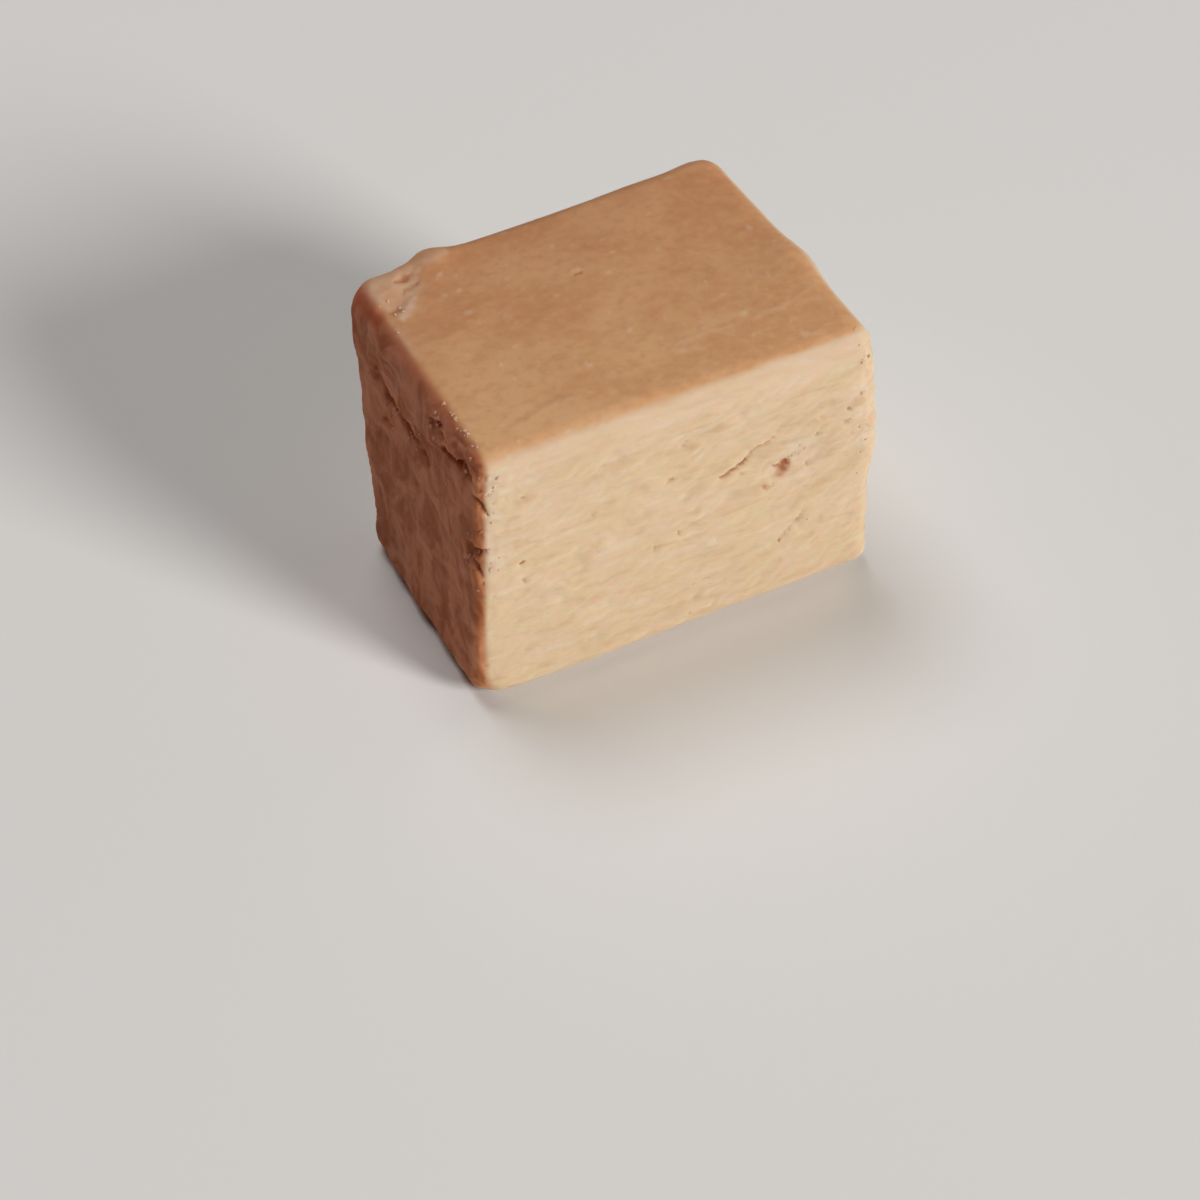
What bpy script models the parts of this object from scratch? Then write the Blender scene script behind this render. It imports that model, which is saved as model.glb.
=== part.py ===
"""Peanut butter fudge: one thick hand-cut piece, modelled as a single closed solid.

The piece stands on its flat underside. Its long cut side faces -Y and its short cut side faces -X, and the
vertical edge between them is called the near edge. The top is the smooth skin that the fudge set under.
Lengths are in metres, +Z is up, and the origin is the middle of the bounding box's underside.
"""

import math

import bpy
import numpy as np
from mathutils import Vector, noise

MM = 0.001

# Driving dimensions of the block, before its corners are pushed out of true
LENGTH = 30.6 * MM
DEPTH = 21.2 * MM
HEIGHT = 22.8 * MM

# How far each corner stands from the true block's, keyed by its side along X, Y and Z
CORNER_SHIFT = {
    (-1, -1, -1): (-0.6 * MM, -0.2 * MM, 0.0),
    (1, -1, -1): (0.9 * MM, 0.2 * MM, 0.0),
    (-1, 1, -1): (0.0, -1.8 * MM, 0.0),
    (1, 1, -1): (-0.3 * MM, -0.3 * MM, 0.0),
    (-1, -1, 1): (0.0, 0.2 * MM, -0.6 * MM),
    (1, -1, 1): (-0.2 * MM, -0.6 * MM, 0.1 * MM),
    (-1, 1, 1): (0.1 * MM, 0.6 * MM, 0.15 * MM),
    (1, 1, 1): (-0.6 * MM, 1.4 * MM, 0.5 * MM),
}

# Radius of each rounded edge, keyed by the side it lies on along X, Y and Z, with 0 for the way it runs.
# The last three are corners blunter than their edges: the foot of the near edge, then two of the top, the far
# left one and the near right one
EDGE_RADIUS = {
    (0, -1, 1): 1.45 * MM,
    (0, 1, 1): 1.5 * MM,
    (-1, 0, 1): 1.3 * MM,
    (1, 0, 1): 1.7 * MM,
    (-1, -1, 0): 0.8 * MM,
    (1, -1, 0): 1.3 * MM,
    (-1, 1, 0): 2.0 * MM,
    (1, 1, 0): 1.9 * MM,
    (0, -1, -1): 1.5 * MM,
    (0, 1, -1): 1.3 * MM,
    (-1, 0, -1): 1.5 * MM,
    (1, 0, -1): 1.3 * MM,
    (-1, -1, -1): 5.0 * MM,
    (-1, 1, 1): 2.6 * MM,
    (1, -1, 1): 2.4 * MM,
}

# How far from a corner the radii of its edges run into each other
RADIUS_BLEND = 2.0 * MM

TOP_CROWN = 0.25 * MM

# Soft swells, as a place on the cube from -1 to 1, a reach and a height
SWELLS = [
    ((1.0, -0.95, 0.25), 3.8 * MM, 0.3 * MM),
    ((1.0, -0.15, 0.95), 2.4 * MM, 0.4 * MM),
    ((-0.58, 1.0, 1.0), 1.7 * MM, 0.55 * MM),
    ((-1.0, 1.0, 0.6), 3.0 * MM, 0.25 * MM),
    ((0.85, 1.0, 1.0), 1.8 * MM, 0.25 * MM),
]

# The shallow chip at the far left corner of the top: its legs along X and Y, and its drop.
# Round it the skin has peeled off, out to a reach from the corner
CHIP_ALONG = 4.6 * MM
CHIP_ACROSS = 5.0 * MM
CHIP_DROP = 0.7 * MM
PEEL_REACH = 5.5 * MM
PEEL_DEPTH = 0.15 * MM
PEEL_WOBBLE = 0.5 * MM
PEEL_SOFTNESS = 0.3 * MM
CHIP_SOFTNESS = 0.07 * MM
CHIP_ROUGHNESS = 0.3 * MM

# Relief of the cut sides: layers that the knife dragged, and tears between them
SKIN_BAND = 2.4 * MM
CALM_FOOT = 1.6 * MM
WAVE_HEIGHT = 0.15 * MM
LAYER_HEIGHT = 0.2 * MM
LAYER_RISE = 0.2
TEAR_DEPTH = 0.2 * MM
WOBBLE = 0.35 * MM

# The flat foot that the piece rests on, as the shares of the underside where it starts and ends along X and Y.
# Outside it the underside climbs, at first by its slope and by no more than its lift
FOOT_START = (-0.74, -0.70)
FOOT_END = (0.74, 0.68)
FOOT_SLOPE = 0.3
FOOT_LIFT = 0.2 * MM

# Cells along each edge of the block. The spacing closes up towards the edges
CELLS = (40, 30, 30)
EDGE_CROWDING = 0.45

FUDGE_COLOUR = (0.60, 0.39, 0.22, 1.0)
FUDGE_ROUGHNESS = 0.5

HALF = np.array([LENGTH, DEPTH, HEIGHT]) / 2


def smoothstep(low, high, value):
    """0 below low, 1 above high, and a smooth rise between. It falls where high is the lower one."""
    t = np.clip((value - low) / (high - low), 0.0, 1.0)
    return t * t * (3.0 - 2.0 * t)


def field(points, size, seed):
    """Smooth noise between about -1 and 1, with bumps of the given size, or a size for each axis."""
    places = points / np.asarray(size) + 17.3 * seed
    return np.array([noise.noise(Vector(place)) for place in places])


def block_lattice(cells, crowding):
    """Points on the faces of a cube from -1 to 1, each shared by the faces that meet there, and its quads."""
    numbers, points, quads = {}, [], []

    def number_of(key):
        if key not in numbers:
            numbers[key] = len(points)
            even = [2.0 * k / n - 1.0 for k, n in zip(key, cells)]
            points.append([(1 - crowding) * t + crowding * math.sin(math.pi / 2 * t) for t in even])
        return numbers[key]

    for axis in range(3):
        across, along = (axis + 1) % 3, (axis + 2) % 3
        for side in (0, cells[axis]):
            for i in range(cells[across]):
                for j in range(cells[along]):
                    ring = []
                    for di, dj in ((0, 0), (1, 0), (1, 1), (0, 1)):
                        key = [0, 0, 0]
                        key[axis], key[across], key[along] = side, i + di, j + dj
                        ring.append(number_of(tuple(key)))
                    quads.append(ring if side else ring[::-1])
    return np.array(points), quads


def local_radius(cube):
    """The rounding at each point of the cube, from the edges that lie nearest to it."""
    total = np.zeros(len(cube))
    weight = np.zeros(len(cube))
    for sides, radius in EDGE_RADIUS.items():
        away = [(cube[:, k] - side) * HALF[k] for k, side in enumerate(sides) if side]
        near = 1.0 / (sum(a * a for a in away) + RADIUS_BLEND**2) ** 2
        total += near * radius
        weight += near
    return (total / weight)[:, None]


def place_on_block(cube):
    """Points of the cube carried onto the rounded, uneven block."""
    radius = local_radius(cube)
    flat = cube * HALF
    core = np.clip(flat, radius - HALF, HALF - radius)
    out = flat - core
    rounded = core + out * (radius / np.linalg.norm(out, axis=1, keepdims=True))
    share = rounded / HALF

    placed = np.zeros_like(cube)
    for sides, shift in CORNER_SHIFT.items():
        pull = np.prod([(1 + side * share[:, k]) / 2 for k, side in enumerate(sides)], axis=0)
        placed += pull[:, None] * (np.array(sides) * HALF + shift)
    placed[:, 2] += HALF[2]

    crown = TOP_CROWN * (1 - share[:, 0] ** 2) * (1 - share[:, 1] ** 2)
    placed[:, 2] += crown * np.clip(share[:, 2], 0, 1)
    return placed


def place_one(x, y, z):
    """The place on the block of one point of the cube."""
    return place_on_block(np.array([[x, y, z]], float))[0]


def on_long_side(from_near_edge, below_top):
    """A point on the -Y side, by its distances from the near edge and from the top."""
    return place_one(2 * from_near_edge / LENGTH - 1, -1, 1 - 2 * below_top / HEIGHT)


def on_short_side(from_near_edge, below_top):
    """A point on the -X side, by its distances from the near edge and from the top."""
    return place_one(-1, 2 * from_near_edge / DEPTH - 1, 1 - 2 * below_top / HEIGHT)


def placed_cracks():
    """The cracks, pits and notches that stand out, as start, end, half width and depth."""
    long_side = [
        ((17.9, 8.9), (20.8, 7.3), 0.40, 0.40),
        ((23.0, 9.6), (23.4, 9.4), 0.55, 0.75),
        ((21.8, 11.1), (22.5, 10.4), 0.35, 0.30),
        ((26.5, 6.5), (28.1, 6.2), 0.40, 0.25),
        ((14.2, 7.3), (14.8, 7.1), 0.35, 0.25),
        ((8.3, 8.1), (8.9, 7.9), 0.35, 0.25),
        ((0.4, 7.9), (3.2, 10.3), 0.35, 0.30),
    ]
    short_side = [
        ((14.8, 5.5), (8.8, 5.4), 0.50, 0.75),
        ((5.9, 2.8), (1.4, 1.9), 0.50, 0.80),
        ((6.9, 1.1), (6.1, 1.2), 0.40, 0.45),
        ((8.0, 9.6), (4.5, 10.6), 0.55, 0.40),
    ]
    near_edge = [(0.8, 0.50, 0.45), (4.3, 0.50, 0.60), (8.0, 0.60, 0.80), (9.6, 0.50, 0.60)]
    found = []
    for place, marks in ((on_long_side, long_side), (on_short_side, short_side)):
        for start, end, half_width, depth in marks:
            ends = [place(along * MM, below * MM) for along, below in (start, end)]
            found.append((*ends, half_width * MM, depth * MM))
    for below, half_width, depth in near_edge:
        notch = place_one(-1, -1, 1 - 2 * below * MM / HEIGHT)
        found.append((notch, notch + [0, 0, 0.2 * MM], half_width * MM, depth * MM))
    return found


def crack_depth(points, start, end, half_width, depth):
    """How deep one crack bites at each point. It narrows towards both ends."""
    run = end - start
    share = np.clip((points - start) @ run / (run @ run), 0, 1)
    away = np.linalg.norm(points - start - share[:, None] * run, axis=1)
    width = half_width * (0.45 + 0.55 * np.sin(math.pi * share))
    return depth * np.exp(-((away / width) ** 2))


def relief(points, normals):
    """How far the cut and torn surface stands out from the even block at each point."""
    height = points[:, 2]
    side = smoothstep(0.8, 0.3, np.abs(normals[:, 2]))
    foot = smoothstep(0.2 * MM, CALM_FOOT, height)
    long_side = smoothstep(0.5, 0.9, -normals[:, 1])
    band = SKIN_BAND * (0.45 + 0.55 * long_side)
    torn = side * foot * smoothstep(0.5 * band, 1.3 * band, HEIGHT - height)
    patchy = 0.6 + 0.4 * field(points, 8 * MM, 1)

    layered = points.copy()
    layered[:, 2] += LAYER_RISE * (0.5 * points[:, 1] - points[:, 0])
    out = WAVE_HEIGHT * field(points, 9 * MM, 2)
    for place, reach, swell in SWELLS:
        away = np.linalg.norm(points - place_one(*place), axis=1)
        out += swell * np.exp(-((away / reach) ** 2))
    out *= smoothstep(0.0, CALM_FOOT, height)
    out += LAYER_HEIGHT * torn * patchy * field(layered, (6 * MM, 6 * MM, 1.8 * MM), 3)
    tear = smoothstep(0.25, 0.6, field(layered, (3.2 * MM, 3.2 * MM, 1.4 * MM), 4))
    out -= TEAR_DEPTH * torn * patchy * tear

    wobbled = points + WOBBLE * np.stack([field(points, 1.6 * MM, seed) for seed in (5, 6, 7)], axis=1)
    for crack in placed_cracks():
        out -= foot * crack_depth(wobbled, *crack)
    return out - peeled_depth(points, normals)


def chip_corner():
    """The corner that the chip is broken from, as it would stand whole."""
    return np.array((-1, 1, 1)) * HALF + CORNER_SHIFT[(-1, 1, 1)] + [0, 0, HALF[2]]


def peeled_depth(points, normals):
    """How deep the skin has come off the top around the chip."""
    from_corner = np.linalg.norm((points - chip_corner())[:, :2], axis=1)
    edge = PEEL_REACH + PEEL_WOBBLE * field(points, 1.5 * MM, 9)
    inside = smoothstep(edge + PEEL_SOFTNESS, edge - PEEL_SOFTNESS, from_corner)
    return PEEL_DEPTH * inside * smoothstep(0.1, 0.5, normals[:, 2])


def break_chip(points):
    """Lowers what stands above the broken face at the far left corner of the top."""
    corner = chip_corner()
    away_x = (points[:, 0] - corner[0]) / CHIP_ALONG
    away_y = (corner[1] - points[:, 1]) / CHIP_ACROSS
    face = corner[2] + CHIP_DROP * (away_x + away_y - 1)
    face += CHIP_ROUGHNESS * field(points, 2.2 * MM, 8) * smoothstep(1.2, 0.6, away_x + away_y)
    above = (points[:, 2] - face) / CHIP_SOFTNESS
    points[:, 2] -= CHIP_SOFTNESS * np.logaddexp(0, above)


def lift_rim(cube, points):
    """Curves the underside up a little all round the flat foot."""
    beyond = np.maximum(np.array(FOOT_START) - cube[:, :2], cube[:, :2] - np.array(FOOT_END))
    far = np.linalg.norm(np.maximum(beyond, 0) * HALF[:2], axis=1)
    climb = FOOT_LIFT * (1 - np.exp(-FOOT_SLOPE * far / FOOT_LIFT))
    points[:, 2] += climb * smoothstep(CALM_FOOT, 0.0, points[:, 2])


def fudge_material():
    material = bpy.data.materials.new("fudge")
    material.use_nodes = True
    shader = material.node_tree.nodes["Principled BSDF"]
    shader.inputs["Base Color"].default_value = FUDGE_COLOUR
    shader.inputs["Roughness"].default_value = FUDGE_ROUGHNESS
    shader.inputs["Metallic"].default_value = 0.0
    return material


def stand_on_origin(points):
    """Moves the points so that the middle of their box's underside is the origin."""
    low, high = points.min(axis=0), points.max(axis=0)
    return points - [(low[0] + high[0]) / 2, (low[1] + high[1]) / 2, low[2]]


def build_fudge_piece():
    cube, quads = block_lattice(CELLS, EDGE_CROWDING)
    points = place_on_block(cube)
    mesh = bpy.data.meshes.new("fudge_piece")
    mesh.from_pydata(points.tolist(), [], quads)
    normals = np.empty(3 * len(points), np.float32)
    mesh.vertex_normals.foreach_get("vector", normals)
    normals = normals.reshape(-1, 3).astype(float)

    points += normals * relief(points, normals)[:, None]
    break_chip(points)
    lift_rim(cube, points)
    points = stand_on_origin(points)
    mesh.vertices.foreach_set("co", points.ravel())
    mesh.update()
    mesh.shade_smooth()
    mesh.materials.append(fudge_material())
    piece = bpy.data.objects.new("fudge_piece", mesh)
    bpy.context.scene.collection.objects.link(piece)


def main():
    for old in list(bpy.data.objects):
        bpy.data.objects.remove(old)
    build_fudge_piece()


main()
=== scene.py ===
"""The looks of one hand-cut piece of peanut butter fudge.

The piece stands on its flat underside. Its long cut side faces -Y, its short cut side faces -X, and the
vertical edge between them is the near edge. The top is the smooth skin that the fudge set under. Lengths
are in metres. The form is the solid's own, on a finer lattice, with the crumb, fine cracks and loose grains
that the solid leaves out.
"""

import math

import bmesh
import bpy
import numpy as np
from mathutils import Euler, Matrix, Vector, noise


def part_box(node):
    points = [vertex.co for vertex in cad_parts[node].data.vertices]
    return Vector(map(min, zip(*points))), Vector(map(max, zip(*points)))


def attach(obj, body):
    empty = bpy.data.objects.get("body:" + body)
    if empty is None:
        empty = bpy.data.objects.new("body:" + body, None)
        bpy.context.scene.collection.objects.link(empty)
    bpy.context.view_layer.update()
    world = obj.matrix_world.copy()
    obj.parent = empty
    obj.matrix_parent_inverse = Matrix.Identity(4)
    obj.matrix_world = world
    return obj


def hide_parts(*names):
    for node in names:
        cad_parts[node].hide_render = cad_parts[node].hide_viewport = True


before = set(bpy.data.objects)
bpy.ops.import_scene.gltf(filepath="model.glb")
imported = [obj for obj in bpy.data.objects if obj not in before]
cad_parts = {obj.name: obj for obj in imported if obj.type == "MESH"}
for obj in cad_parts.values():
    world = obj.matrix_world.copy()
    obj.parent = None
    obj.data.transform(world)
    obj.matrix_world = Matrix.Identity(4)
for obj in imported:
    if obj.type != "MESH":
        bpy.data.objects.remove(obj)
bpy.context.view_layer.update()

MM = 0.001

# Driving dimensions of the block, before its corners are pushed out of true
LENGTH = 30.6 * MM
DEPTH = 21.2 * MM
HEIGHT = 22.8 * MM

# How far each corner stands from the true block's, keyed by its side along X, Y and Z
CORNER_SHIFT = {
    (-1, -1, -1): (-0.6 * MM, -0.2 * MM, 0.0),
    (1, -1, -1): (0.9 * MM, 0.2 * MM, 0.0),
    (-1, 1, -1): (0.0, -1.8 * MM, 0.0),
    (1, 1, -1): (-0.3 * MM, -0.3 * MM, 0.0),
    (-1, -1, 1): (0.0, 0.2 * MM, -0.6 * MM),
    (1, -1, 1): (-0.2 * MM, -0.6 * MM, 0.1 * MM),
    (-1, 1, 1): (0.1 * MM, 0.6 * MM, 0.15 * MM),
    (1, 1, 1): (-0.6 * MM, 1.4 * MM, 0.5 * MM),
}

# Radius of each rounded edge, keyed by the side it lies on along X, Y and Z, with 0 for the way it runs.
# The last three are corners blunter than their edges
EDGE_RADIUS = {
    (0, -1, 1): 1.45 * MM,
    (0, 1, 1): 1.5 * MM,
    (-1, 0, 1): 1.3 * MM,
    (1, 0, 1): 1.7 * MM,
    (-1, -1, 0): 0.8 * MM,
    (1, -1, 0): 1.3 * MM,
    (-1, 1, 0): 2.0 * MM,
    (1, 1, 0): 1.9 * MM,
    (0, -1, -1): 1.5 * MM,
    (0, 1, -1): 1.3 * MM,
    (-1, 0, -1): 1.5 * MM,
    (1, 0, -1): 1.3 * MM,
    (-1, -1, -1): 5.0 * MM,
    (-1, 1, 1): 2.6 * MM,
    (1, -1, 1): 2.4 * MM,
}
RADIUS_BLEND = 2.0 * MM
TOP_CROWN = 0.25 * MM

# Soft swells, as a place on the cube from -1 to 1, a reach and a height
SWELLS = [
    ((1.0, -0.95, 0.25), 3.8 * MM, 0.3 * MM),
    ((1.0, -0.15, 0.95), 2.4 * MM, 0.4 * MM),
    ((-0.58, 1.0, 1.0), 1.7 * MM, 0.55 * MM),
    ((-1.0, 1.0, 0.6), 3.0 * MM, 0.25 * MM),
    ((0.85, 1.0, 1.0), 1.8 * MM, 0.25 * MM),
]

# The shallow chip at the far left corner of the top, and the skin peeled off round it
CHIP_ALONG = 4.6 * MM
CHIP_ACROSS = 5.0 * MM
CHIP_DROP = 0.7 * MM
CHIP_SOFTNESS = 0.07 * MM
CHIP_ROUGHNESS = 0.3 * MM
CHIP_GRIT = 0.08 * MM
PEEL_REACH = 5.5 * MM
PEEL_DEPTH = 0.10 * MM
PEEL_WOBBLE = 0.5 * MM
PEEL_SOFTNESS = 0.6 * MM
SCAR_SWELL = 0.10 * MM
SCAR_GRIT = 0.04 * MM

# How far a face's normal points up, for the cut sides and the top, or out of one side, for facing it and for
# the painted shade of the short side: where the face begins to count as such, and where it wholly does
SIDE_LEAN = (0.8, 0.3)
TOP_LEAN = (0.35, 0.85)
FACING = (0.5, 0.9)
SHADE_LEAN = (0.15, 0.7)

# How far up a face's normal points where the set skin begins, how much further at the far end of the long
# side, and where the skin is whole
SKIN_START = 0.5
SKIN_CUT_BACK = 0.34
SKIN_WHOLE = 0.95

# How far the painted glow along the near edge, orange light bled onto the shaded short side, reaches from
# that edge
EDGE_GLOW_REACH = 1.1 * MM

# Relief of the cut sides
SKIN_BAND = 2.4 * MM
CALM_FOOT = 1.6 * MM
WAVE_HEIGHT = 0.15 * MM
LAYER_HEIGHT = 0.2 * MM
LAYER_RISE = 0.2
DRAG_RISE = 0.10
DRAG_BEND = 0.17
TEAR_DEPTH = 0.2 * MM
WOBBLE = 0.35 * MM
RIPPLE = 0.20 * MM

# How deep a mark goes for the painted shade on its floor to be full
DARK_DEPTH = 0.4 * MM

# Fine relief of the cut sides. Folds and wrinkles sink where their noise is below the level, and stand out
# where it is above, up to the cap
STREAK_BEND = 0.5 * MM
STREAK_WAVE = 1.3 * MM
STREAK_HEIGHT = 0.11 * MM
GRAIN_HEIGHT = 0.006 * MM
FOLD_CAP = 0.35
FOLD_LEVEL = 0.15
FOLD_HEIGHT = 0.46 * MM
WRINKLE_HEIGHT = 0.12 * MM
LINE_DEPTH = 0.05 * MM
FLAKE_DEPTH = 0.04 * MM
SPECK_DEPTH = 0.12 * MM
POWDER_HEIGHT = 0.06 * MM
KNIFE_HEIGHT = 0.05 * MM
DRAG_HEIGHT = 0.14 * MM
EDGE_RAGGEDNESS = 0.03 * MM
EDGE_BITE = 0.10 * MM

# Relief of the skin
SKIN_SWELL = 0.030 * MM
SKIN_RIPPLE = 0.014 * MM
SKIN_WEAVE = 0.010 * MM
SKIN_GRAIN = 0.006 * MM
SCRATCH_DEPTH = 0.015 * MM
POCK_DEPTH = 0.03 * MM
PIMPLE_HEIGHT = 0.03 * MM

# The flat foot that the piece rests on, as the places on the cube where it starts and ends along X and Y.
# Outside it the underside climbs, at first by its slope and by no more than its lift
FOOT_START = (-0.74, -0.70)
FOOT_END = (0.74, 0.68)
FOOT_SLOPE = 0.3
FOOT_LIFT = 0.2 * MM

# Cells along each edge of the block, how far their spacing closes up towards the edges, and the order of
# the corners round a quad
CELLS = (158, 112, 114)
EDGE_CROWDING = 0.3
QUAD_CORNERS = ((0, 0), (1, 0), (1, 1), (0, 1))

# The gap between faces on the bake's map, and the room that it has beyond two long faces and their gaps
MAP_GAP = 1.0 * MM
MAP_SPARE = 8 * MM

# How far apart the noise of one seed lies from that of the next
SEED_STEP = 17.3

# The camera looks at a point from a side and a height that the photograph's perspective gives
CAMERA_AIM = (-1.95 * MM, -2.28 * MM, -3.03 * MM)
CAMERA_AZIMUTH = math.radians(-27.5)
CAMERA_ELEVATION = math.radians(44.0)
CAMERA_DISTANCE = 257.6 * MM
CAMERA_LENS = 105.0
CAMERA_CLIP = 0.01
SENSOR_WIDTH = 36.0

# The lights: azimuth and elevation in degrees, distance and size in metres, power in watts, and colour
LIGHTS = {
    "key": (26.0, 25.0, 1.6, 0.5, 20.7, (1.0, 0.985, 0.96)),
    "top_fill": (-170.0, 66.0, 1.4, 0.8, 8.1, (1.0, 0.98, 0.96)),
    "warm_bounce": (-80.0, 7.0, 0.6, 0.3, 0.05, (1.0, 0.38, 0.2)),
}
WORLD_COLOUR = (1.0, 0.98, 0.96, 1.0)
WORLD_STRENGTH = 0.02
FLOOR_REACH = 4.0

HALF = np.array([LENGTH, DEPTH, HEIGHT]) / 2


def smoothstep(low, high, value):
    """0 below low, 1 above high, and a smooth rise between. It falls where high is the lower one."""
    t = np.clip((value - low) / (high - low), 0.0, 1.0)
    return t * t * (3.0 - 2.0 * t)


def field(points, size, seed):
    """Smooth noise between about -1 and 1, with bumps of the given size, or a size for each axis."""
    places = points / np.asarray(size) + SEED_STEP * seed
    return np.array([noise.noise(Vector(place)) for place in places])


def random_shifts(points, size, seeds):
    """A smooth random shift for each point along X, Y and Z, from a seed for each axis."""
    return np.stack([field(points, size, seed) for seed in seeds], axis=1)


def block_lattice(cells, crowding):
    """Points on the faces of a cube from -1 to 1, shared where its faces meet, and the quads between."""
    numbers, points, quads = {}, [], []

    def number_of(key):
        if key not in numbers:
            numbers[key] = len(points)
            even = [2.0 * k / n - 1.0 for k, n in zip(key, cells)]
            points.append([(1 - crowding) * t + crowding * math.sin(math.pi / 2 * t) for t in even])
        return numbers[key]

    for axis in range(3):
        across, along = (axis + 1) % 3, (axis + 2) % 3
        for side in (0, cells[axis]):
            for i in range(cells[across]):
                for j in range(cells[along]):
                    ring = []
                    for di, dj in QUAD_CORNERS:
                        key = [0, 0, 0]
                        key[axis], key[across], key[along] = side, i + di, j + dj
                        ring.append(number_of(tuple(key)))
                    quads.append(ring if side else ring[::-1])
    return np.array(points), quads


def local_radius(cube):
    """The rounding at each point of the cube, from the edges that lie nearest to it."""
    total = np.zeros(len(cube))
    weight = np.zeros(len(cube))
    for sides, radius in EDGE_RADIUS.items():
        away = [(cube[:, k] - side) * HALF[k] for k, side in enumerate(sides) if side]
        near = 1.0 / (sum(a * a for a in away) + RADIUS_BLEND**2) ** 2
        total += near * radius
        weight += near
    return (total / weight)[:, None]


def place_on_block(cube):
    """Points of the cube carried onto the rounded, uneven block."""
    radius = local_radius(cube)
    flat = cube * HALF
    core = np.clip(flat, radius - HALF, HALF - radius)
    out = flat - core
    rounded = core + out * (radius / np.linalg.norm(out, axis=1, keepdims=True))
    share = rounded / HALF

    placed = np.zeros_like(cube)
    for sides, shift in CORNER_SHIFT.items():
        pull = np.prod([(1 + side * share[:, k]) / 2 for k, side in enumerate(sides)], axis=0)
        placed += pull[:, None] * (np.array(sides) * HALF + shift)
    placed[:, 2] += HALF[2]

    crown = TOP_CROWN * (1 - share[:, 0] ** 2) * (1 - share[:, 1] ** 2)
    placed[:, 2] += crown * np.clip(share[:, 2], 0, 1)
    return placed


def place_one(x, y, z):
    """The place on the block of one point of the cube."""
    return place_on_block(np.array([[x, y, z]], float))[0]


def nearness(points, place, reach):
    """1 at a place on the cube as it lies on the block, and less the further from it."""
    away = np.linalg.norm(points - place_one(*place), axis=1)
    return np.exp(-((away / reach) ** 2))


def on_long_side(from_near_edge, below_top):
    """A point on the -Y side, by its distances from the near edge and from the top."""
    return place_one(2 * from_near_edge / LENGTH - 1, -1, 1 - 2 * below_top / HEIGHT)


def on_short_side(from_near_edge, below_top):
    """A point on the -X side, by its distances from the near edge and from the top."""
    return place_one(-1, 2 * from_near_edge / DEPTH - 1, 1 - 2 * below_top / HEIGHT)


def on_top(along, across):
    """A point on the top, by its distances from the short side and from the long side."""
    return place_one(2 * along / LENGTH - 1, 2 * across / DEPTH - 1, 1)


# Marks that stand out, in millimetres: the places that each runs through, then its half width, depth and
# tint. A raised mark has a negative depth. The tint goes from 1 for a floor darkened red-brown by painted
# shade to -1 for a chalky one. On a side, a place is a distance from the near edge and one below the top
LONG_SIDE_MARKS = [
    (((17.9, 8.9), (18.9, 8.4), (20.0, 7.7)), 0.22, 0.34, 0.9),
    (((19.8, 7.8), (21.0, 7.1), (22.4, 6.6)), 0.26, 0.15, 0.4),
    (((21.4, 6.9), (24.0, 5.6), (27.0, 4.9)), 0.18, 0.06, 0.0),
    (((18.0, 9.6), (19.4, 9.0), (20.6, 8.1)), 0.30, -0.07, 0.0),
    (((18.4, 7.6), (20.2, 6.6), (22.4, 5.9)), 0.40, -0.07, 0.0),
    (((22.8, 9.7), (23.1, 9.6), (23.5, 9.4)), 0.36, 0.32, 1.0),
    (((22.5, 9.3), (22.9, 9.5)), 0.30, 0.12, 0.9),
    (((22.4, 9.2), (22.9, 10.2), (23.6, 9.7)), 0.34, 0.05, 0.6),
    (((23.3, 8.75), (24.3, 8.2)), 0.20, -0.10, -0.3),
    (((22.0, 10.9), (22.5, 10.4), (22.9, 9.9)), 0.15, 0.12, 0.3),
    (((21.75, 11.1), (21.95, 10.95)), 0.24, 0.16, 0.55),
    (((24.9, 10.0), (25.2, 10.1)), 0.26, 0.12, 0.4),
    (((26.5, 6.5), (27.3, 6.3)), 0.18, 0.10, 0.2),
    (((27.9, 6.3), (28.2, 6.2)), 0.26, 0.15, 0.5),
    (((28.2, 8.6), (28.4, 8.6)), 0.24, 0.10, 0.3),
    (((14.2, 7.3), (14.7, 7.1)), 0.27, 0.15, 0.5),
    (((8.4, 8.1), (8.9, 7.9)), 0.26, 0.14, 0.45),
    (((9.2, 5.6), (12.0, 4.9), (14.6, 4.7)), 0.22, 0.09, 0.05),
    (((9.0, 5.0), (11.6, 4.4), (14.0, 4.2)), 0.34, -0.06, 0.0),
    (((2.2, 7.4), (4.0, 7.6), (6.8, 7.4)), 0.26, -0.08, 0.0),
    (((2.4, 8.2), (4.6, 8.3), (7.4, 8.2)), 0.22, 0.07, 0.0),
    (((2.95, 10.15), (3.35, 10.2)), 0.25, 0.18, 0.9),
    (((0.8, 2.0), (1.7, 2.5), (2.8, 2.3)), 0.20, 0.11, 0.15),
    (((1.5, 1.6), (2.6, 1.7)), 0.30, -0.08, -0.4),
    (((22.6, 17.0), (24.2, 15.6), (25.6, 14.2)), 0.15, 0.14, 0.3),
    (((21.9, 16.6), (23.6, 15.2)), 0.30, -0.06, -0.1),
    (((2.6, 14.6), (4.6, 14.0), (6.4, 13.9)), 0.20, 0.06, 0.0),
    (((3.2, 15.9), (5.4, 15.3)), 0.18, 0.06, 0.0),
]
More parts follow.
